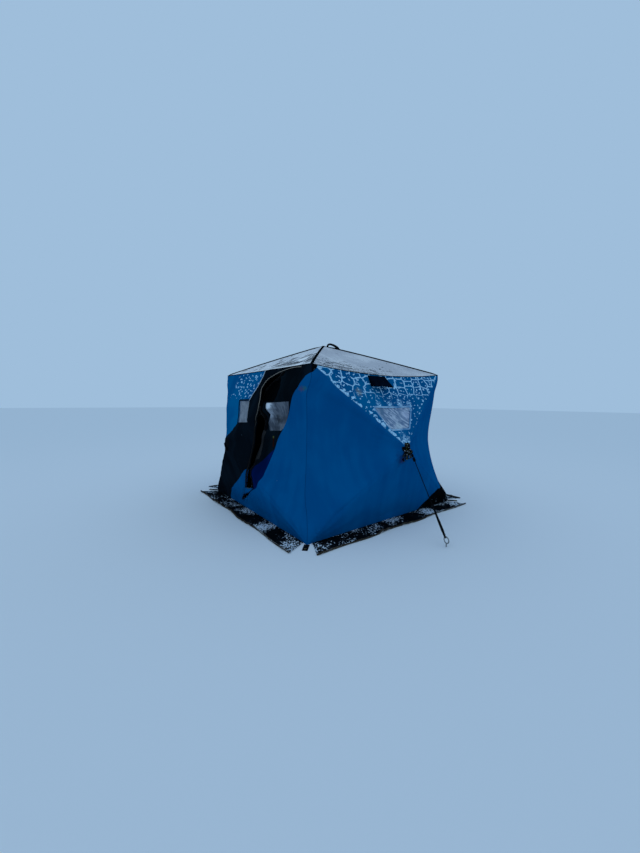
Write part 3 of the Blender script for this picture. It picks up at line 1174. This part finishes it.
hood_cloth = polyester("black_hood_cloth", "#04111f", "#030b16", roughness=0.7)
hood_flat = lattice(np.linspace(0, 1, 61), np.linspace(1, 0, 13))
for wall in WALLS[1:]:
    sheet(wall + "_vent_hood", hood_flat, grid_faces(13, 61)[:, ::-1], hood_face(wall), 0.0, HOOD_T,
          hood_cloth, "black_plastic", (0.42, 0.16), "hung", (wall + "_wall_top_cloth",), node="vent_hoods")


# Snow flaps and corner patches
# Black cloth flaps sewn to the wall's foot lie on the ice, rumpled, with a brown rolled hem on the free edge.
FLAP_W = 0.220
FLAP_T = 0.004
FLAP_END = 0.060
HEM_R = 0.008
RUMPLE = 0.016
HEM_WAVE = 0.014
PATCH_T = 0.004
PATCH_OUTLINE = np.array([(1146, 4), (470, 4), (686, 134), (784, 200), (1000, 244), (1146, 256)]) / 1000
CAP_OUTLINE = np.array([(-1060, 1555), (-1000, 1570), (-978, 1592), (-957, 1614), (-935, 1640), (-930, 1670),
                        (-1060, 1670)]) / 1000


def flap_face(wall):
    """A flap as a function of metres along and across: flat at the wall, rising in creases toward its hem."""
    def face(flat, depth):
        s, v = flat.T / [[2 * FOOT_HALF], [FLAP_W]]
        half = FOOT_HALF - FLAP_END + FLAP_W / 2 * v
        x = (2 * s - 1) * half
        y = -FOOT_HALF - FLAP_W * v + HEM_WAVE * np.sin(6 * np.pi * s) * bow(s) * v
        seed = 70 + WALLS.index(wall)
        rise = waves(x, y, 0.30, seed) + 0.5 * waves(x, y, 0.11, seed + 9)
        z = FLAP_T + RUMPLE * np.maximum(rise, 0) * ease(v, 0.05, 0.6)
        return turned(np.stack([x, y, np.maximum(z - depth, 0.0)], -1), wall)
    return face


flap_cloth = polyester("black_flap_cloth", "#0b1117", "#070b10", frost=2.4, roughness=0.7)
patch_cloth = polyester("black_patch_cloth", "#080c10", "#05080b", frost=0.7, roughness=0.7)
brown_hem = polyester("brown_rolled_hem", "#4e4538", "#37302a", frost=1.2, roughness=0.75)
rows, columns = 15, 150
flap_flat = lattice(np.linspace(0, 2 * FOOT_HALF, columns), np.linspace(FLAP_W, 0, rows))
for wall, side_name in zip(WALLS, SIDES):
    face = flap_face(wall)
    sheet(f"snow_flap_{side_name}_cloth", flap_flat, grid_faces(rows, columns), face, 0.0, FLAP_T, flap_cloth,
          "black_cloth", (2.38, 0.26), "laid", node="snow_flap_" + side_name)
    hem_flat = np.stack([np.linspace(0, 2 * FOOT_HALF, 200), np.full(200, FLAP_W)], -1)
    hem = face(hem_flat, np.zeros(200)) + (0, 0, HEM_R * 0.6)
    cordlike(f"snow_flap_{side_name}_hem", hem, HEM_R, brown_hem, "black_cloth")


def cut_on_wall(outline, step):
    """A piece of the wall's own cloth inside an outline, with edges along the wall's rim and rods."""
    flat, faces = cut_cloth(outline, [(rim_2d, True)] + rod_lines("right"), step)
    return flat, faces[inside(flat[faces].mean(1), rim_2d)]


for wall, side in (("right", 1), ("back", -1), ("back", 1), ("left", -1)):
    flat, faces = cut_on_wall((PATCH_OUTLINE * (side, 1))[::side], SPACING)
    sheet(f"corner_patch_{wall}_{'right' if side > 0 else 'left'}", flat, faces, wall_face(wall), -PATCH_T,
          PATCH_T, patch_cloth, "black_cloth", (0.68, 0.26), on=(wall + "_wall_foot_cloth",),
          node="corner_patches")

# The door wall's black head binding is folded over the near corner onto the roped wall
sheet("near_corner_cap", *cut_on_wall(CAP_OUTLINE, 0.008), wall_face("right"), -PATCH_T, PATCH_T, patch_cloth,
      "black_cloth", (0.10, 0.12), on=("right_wall_top_cloth",))


# Webbing loops and straps
# A folded webbing loop is stitched on a patch over every hub, and a longer strap lies over the peak. On the
# roped wall the slack of the strap hangs bunched under its loop.
LOOP_R = 0.035
WEB_T = 0.003
WEB_W = 0.030
WEB_PATCH = 0.058
ROPED_PATCH_W = 0.042
ROPE_R = 0.004
SEAT = 0.0003
EYE_R = 0.024
ANCHOR_R = 0.005


def webbing(name, tone, deep, frost=0.0, fleck=None):
    """Woven nylon webbing with ribs 2 mm apart, a little frost, and tracer flecks of a colour if given."""
    m, place = finish_of(name, "Object")
    ribs = add(m, "TexWave Z", place, Scale=500 / RIDGES_PER_UNIT, Distortion=1.0)
    tone_now = add(m, "COLOURS", add(m, "TexNoise", place, 500 / 25), tone, deep)
    spots = add(m, "SMOOTHSTEP", add(m, "TexNoise", place, 500 / 7, 3.0), 0.68 - frost, 0.74 - frost)
    tone_now = add(m, "COLOURS", spots, tone_now, "#9fabb8")
    if fleck:
        tracer = add(m, "TexVoronoi", place, Scale=70.0)
        tone_now = add(m, "COLOURS", add(m, "SMOOTHSTEP", (tracer, "Distance"), 0.20, 0.16), tone_now, fleck)
    return surface(m, tone_now, 0.75, ribs, 0.0004)


black_webbing = webbing("black_webbing", "#15171a", "#0e0f11")
bundle_webbing = webbing("black_webbing_with_tracer", "#0f1112", "#090a0b", frost=0.10, fleck="#8a8f45")


def loop_face(wall):
    """A flattened loop as a function of its turn and its share across. The roped one is pulled out and down
    to the rope's eye; the others hang on the wall below their patch."""
    hx, hy, hz = hub_of(wall)
    if wall == "right":
        lean, half_long, half_wide = math.radians(-45), (LOOP_R + WEB_T / 3) / math.sqrt(2) + WEB_T / 2, 0.012
    else:
        lean = -math.pi / 2 - math.atan2(-hy - FOOT_HALF, HUB_H)
        half_long, half_wide = 0.050, 0.009
    far, near = (math.cos(lean), math.sin(lean)), (-math.sin(lean), math.cos(lean))

    def face(flat, depth):
        turn, across = flat.T * [[2 * np.pi], [1]]
        a, b = (half_long - depth) * np.cos(turn), (half_wide - depth) * np.sin(turn)
        out = far[0] * (half_long + a) + near[0] * b
        rise = far[1] * (half_long + a) + near[1] * b
        start = 0.0 if wall == "right" else half_wide - 0.004
        return turned(np.stack([hx + (across - 0.5) * WEB_W, hy - out - start, hz + rise], -1), wall)
    return face


loop_flat = lattice(np.linspace(0, 1, 73), np.linspace(0, 1, 5))
t = np.linspace(0, 2 * np.pi, 40, endpoint=False)
square = np.stack([np.sign(way) * np.abs(way) ** 0.4 for way in (np.cos(t), np.sin(t))], -1)
for wall in WALLS:
    hx, hz = hub_of(wall)[[0, 2]]
    outline = square * ((ROPED_PATCH_W, WEB_PATCH) if wall == "right" else WEB_PATCH) + (hx, hz)
    face = door_face if wall == "door" else wall_face(wall)
    flat, faces = cut_cloth(outline[::-1], [(np.array([(hx, hz), c]), False) for c in outline[::10]], 0.012)
    web = bundle_webbing if wall == "right" else black_webbing
    shell(wall + "_hub_patch", flat, faces, face, -WEB_T, WEB_T, web, "webbing", "pull_loops")
    shell(wall + "_pull_loop", loop_flat, grid_faces(5, 73)[:, ::-1], loop_face(wall), 0.0, WEB_T, web,
          "webbing")


# The strap over the peak is rolled into a thick cord, and both of its ends are sewn under the ridge tapes
PEAK_MIDDLE = np.array([0.037, 0.048])
PEAK_WAY = np.array([0.79, 0.61])
PEAK_HALF = 0.078
PEAK_RISE = 0.052
PEAK_SINK = 0.014
STRAP_R = 0.013
t = np.linspace(0, 1, 40)
strap_at = PEAK_MIDDLE - PEAK_HALF * np.cos(np.pi * t)[:, None] * PEAK_WAY
strap_z = PEAK_H - PEAK_SINK + PEAK_RISE * np.sin(np.pi * t ** 0.6) ** 1.5 - 0.032 * t ** 3
cordlike("peak_strap", np.concatenate([strap_at, strap_z[:, None]], 1), STRAP_R + 0.005 * ease(t, 0.3, 0.9),
         black_webbing, "webbing", sides=14, up=(-0.61, 0.79, 0))


def tail_face(wall, lift, sway, pitch):
    """A strap hanging on the wall's face, as a function of x and z, lifted off it in soft bends."""
    base = wall_face(wall)

    def face(flat, depth):
        down = np.clip((HUB_H - flat[:, 1]) / 0.20, 0, 1)
        bends = lift * (0.5 + 0.5 * np.sin(2 * np.pi * down / pitch)) * ease(down, 0, 0.2) + 0.004
        shifted = flat + np.stack([sway * np.sin(5 * down) * down, 0 * down], -1)
        return base(shifted, depth - bends)
    return face


TAILS = ((-0.050, 0.030, 0.105, 0.016, 0.010, 0.50), (-0.025, 0.030, 0.160, 0.030, -0.012, 0.35),
         (0.000, 0.030, 0.135, 0.022, 0.010, 0.45), (0.025, 0.030, 0.150, 0.034, 0.014, 0.38),
         (0.050, 0.026, 0.095, 0.018, -0.010, 0.60))
for number, (at, width, length, lift, sway, pitch) in enumerate(TAILS):
    ends = np.array([(at, HUB_H + 0.02), (at, HUB_H + 0.02 - length)])
    strap = strip(along(ends, 0.006, closed=False), -width / 2, width / 2, rows=5)
    shell(f"hub_strap_tail_{number + 1}", *strap, tail_face("right", lift, sway, pitch), 0.0, WEB_T,
          bundle_webbing, "webbing")


# Guy rope and anchor
# Braided cord tied round the loop's lowest strand at one end and round a galvanised ring anchor at the other,
# with its spare end wound back up the cord over the lowest third of a metre.
ring_low, ring_high = (np.array(c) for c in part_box("ice_anchor"))
eye_centre = np.append((ring_low + ring_high)[:2] / 2, ring_high[2] - EYE_R - 2 * ANCHOR_R)
web_low = np.array([HUB_REACH + LOOP_R + WEB_T / 3, 0, HUB_H + WEB_T / 2 - LOOP_R])
rope_way = unit(web_low - eye_centre)
ring_at = eye_centre + rope_way * (EYE_R + ANCHOR_R)
level_way = unit(np.cross(rope_way, (0, 0, 1)))
WEB_EYE = WEB_W / 2 + SEAT + ROPE_R
RING_EYE = ANCHOR_R + SEAT + ROPE_R
rope_drop = unit(np.array([0, -rope_way[1], -rope_way[2]]))
third_way = np.cross(rope_way, level_way)

# Braided polyester, 8 mm, black, with crossing plaits 6 mm long
braid, place = finish_of("braided_cord")
plaits = []
for lean in (1, -1):
    slanted = add(braid, "Mapping", place, Scale=(6.0, 160.0, 1.0), Rotation=(0, 0, lean * math.radians(45)))
    plaits.append(add(braid, "TexWave X", slanted, Scale=1 / 4.44))
crossing = add(braid, "MAXIMUM", *plaits)
surface(braid, add(braid, "COLOURS", crossing, "#060708", "#111315"), 0.7, crossing, 0.0006)


def rope(name, path, radius=ROPE_R, closed=False, up=(0, 0, 1), sides=12):
    """One length of the cord."""
    return cordlike(name, path, radius, braid, "rope", sides=sides, closed=closed, up=up)


def wound(start, end, turns, radius, swell):
    """A helix round the straight cord between two distances from the ring, with a slightly uneven radius."""
    t = np.linspace(0, 1, int(turns * 18) + 1)
    turn = 2 * np.pi * turns * t
    out = radius + swell * np.sin(3.7 * turn)
    ring = level_way * np.cos(turn)[:, None] + third_way * np.sin(turn)[:, None]
    return ring_at + rope_way * (start + (end - start) * t)[:, None] + ring * out[:, None]


def eye(name, centre, radius, first, second, up):
    """A ring of cord in the plane of two directions."""
    t = np.linspace(0, 2 * np.pi, 48, endpoint=False)[:, None]
    rope(name, centre + radius * (first * np.cos(t) + second * np.sin(t)), closed=True, up=up)


full = np.linalg.norm(web_low + rope_drop * WEB_EYE - ring_at)
straight = rope("guy_rope_cord", ring_at + rope_way * np.linspace(RING_EYE, full, 120)[:, None])
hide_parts("guy_rope")
eye("guy_rope_upper_eye", web_low, WEB_EYE, np.array([0, 1, 0]), np.array([0, 0, 1]), (1, 0, 0))
eye("guy_rope_lower_eye", ring_at, RING_EYE, rope_way, level_way, third_way)
for name, helix, thick in (("upper_knot", (full - 0.035, full - 0.006, 3.5, 0.0075, 0.0006), ROPE_R),
                           ("hitch", (full - 0.088, full - 0.052, 4, 0.0088, 0.0010), 0.005),
                           ("lower_knot", (0.014, 0.052, 4.5, 0.0075, 0.0006), ROPE_R)):
    rope("guy_rope_" + name, wound(*helix), thick)
t = np.linspace(0, 1, 60)
taper = 0.0135 - 0.0075 * t + 0.0012 * waves(t, 0 * t, 0.22, 90)
taper = taper * ease(t, -0.05, 0.05) * ease(1 - t, -0.05, 0.05)
rope("guy_rope_spare_end", ring_at + rope_way * (0.040 + 0.30 * t)[:, None],
     radius=np.maximum(taper, ROPE_R + 0.0005))

# Hot-dip galvanised steel: dull grey spangle, a little rust where the ring meets the shank, frost on top
galvanised, place = finish_of("galvanised_steel", "Object")
spangle = add(galvanised, "TexVoronoi", place, 160.0)
zinc = add(galvanised, "COLOURS", (spangle, "Color"), "#7c7f80", "#9a9c9b")
rust = add(galvanised, "SMOOTHSTEP", add(galvanised, "TexNoise", place, 500 / 14, 5.0), 0.54, 0.66)
grain = add(galvanised, "TexNoise", place, 500 / 3)
rusted = add(galvanised, "COLOURS", rust, zinc, "#6d5a48")
surface(galvanised, rusted, 0.48, grain, 0.00015, 0.5, Metallic=0.75)
dress(galvanised, "ice_anchor")
stamped_brass = two_tone("stamped_brass", ("#8c7440", "#b0955a"), 8, 0.38, 0.5, detail=4.0, Metallic=1.0)
dress(stamped_brass, "tab_grommets")
dress(black_webbing, "anchor_tabs")
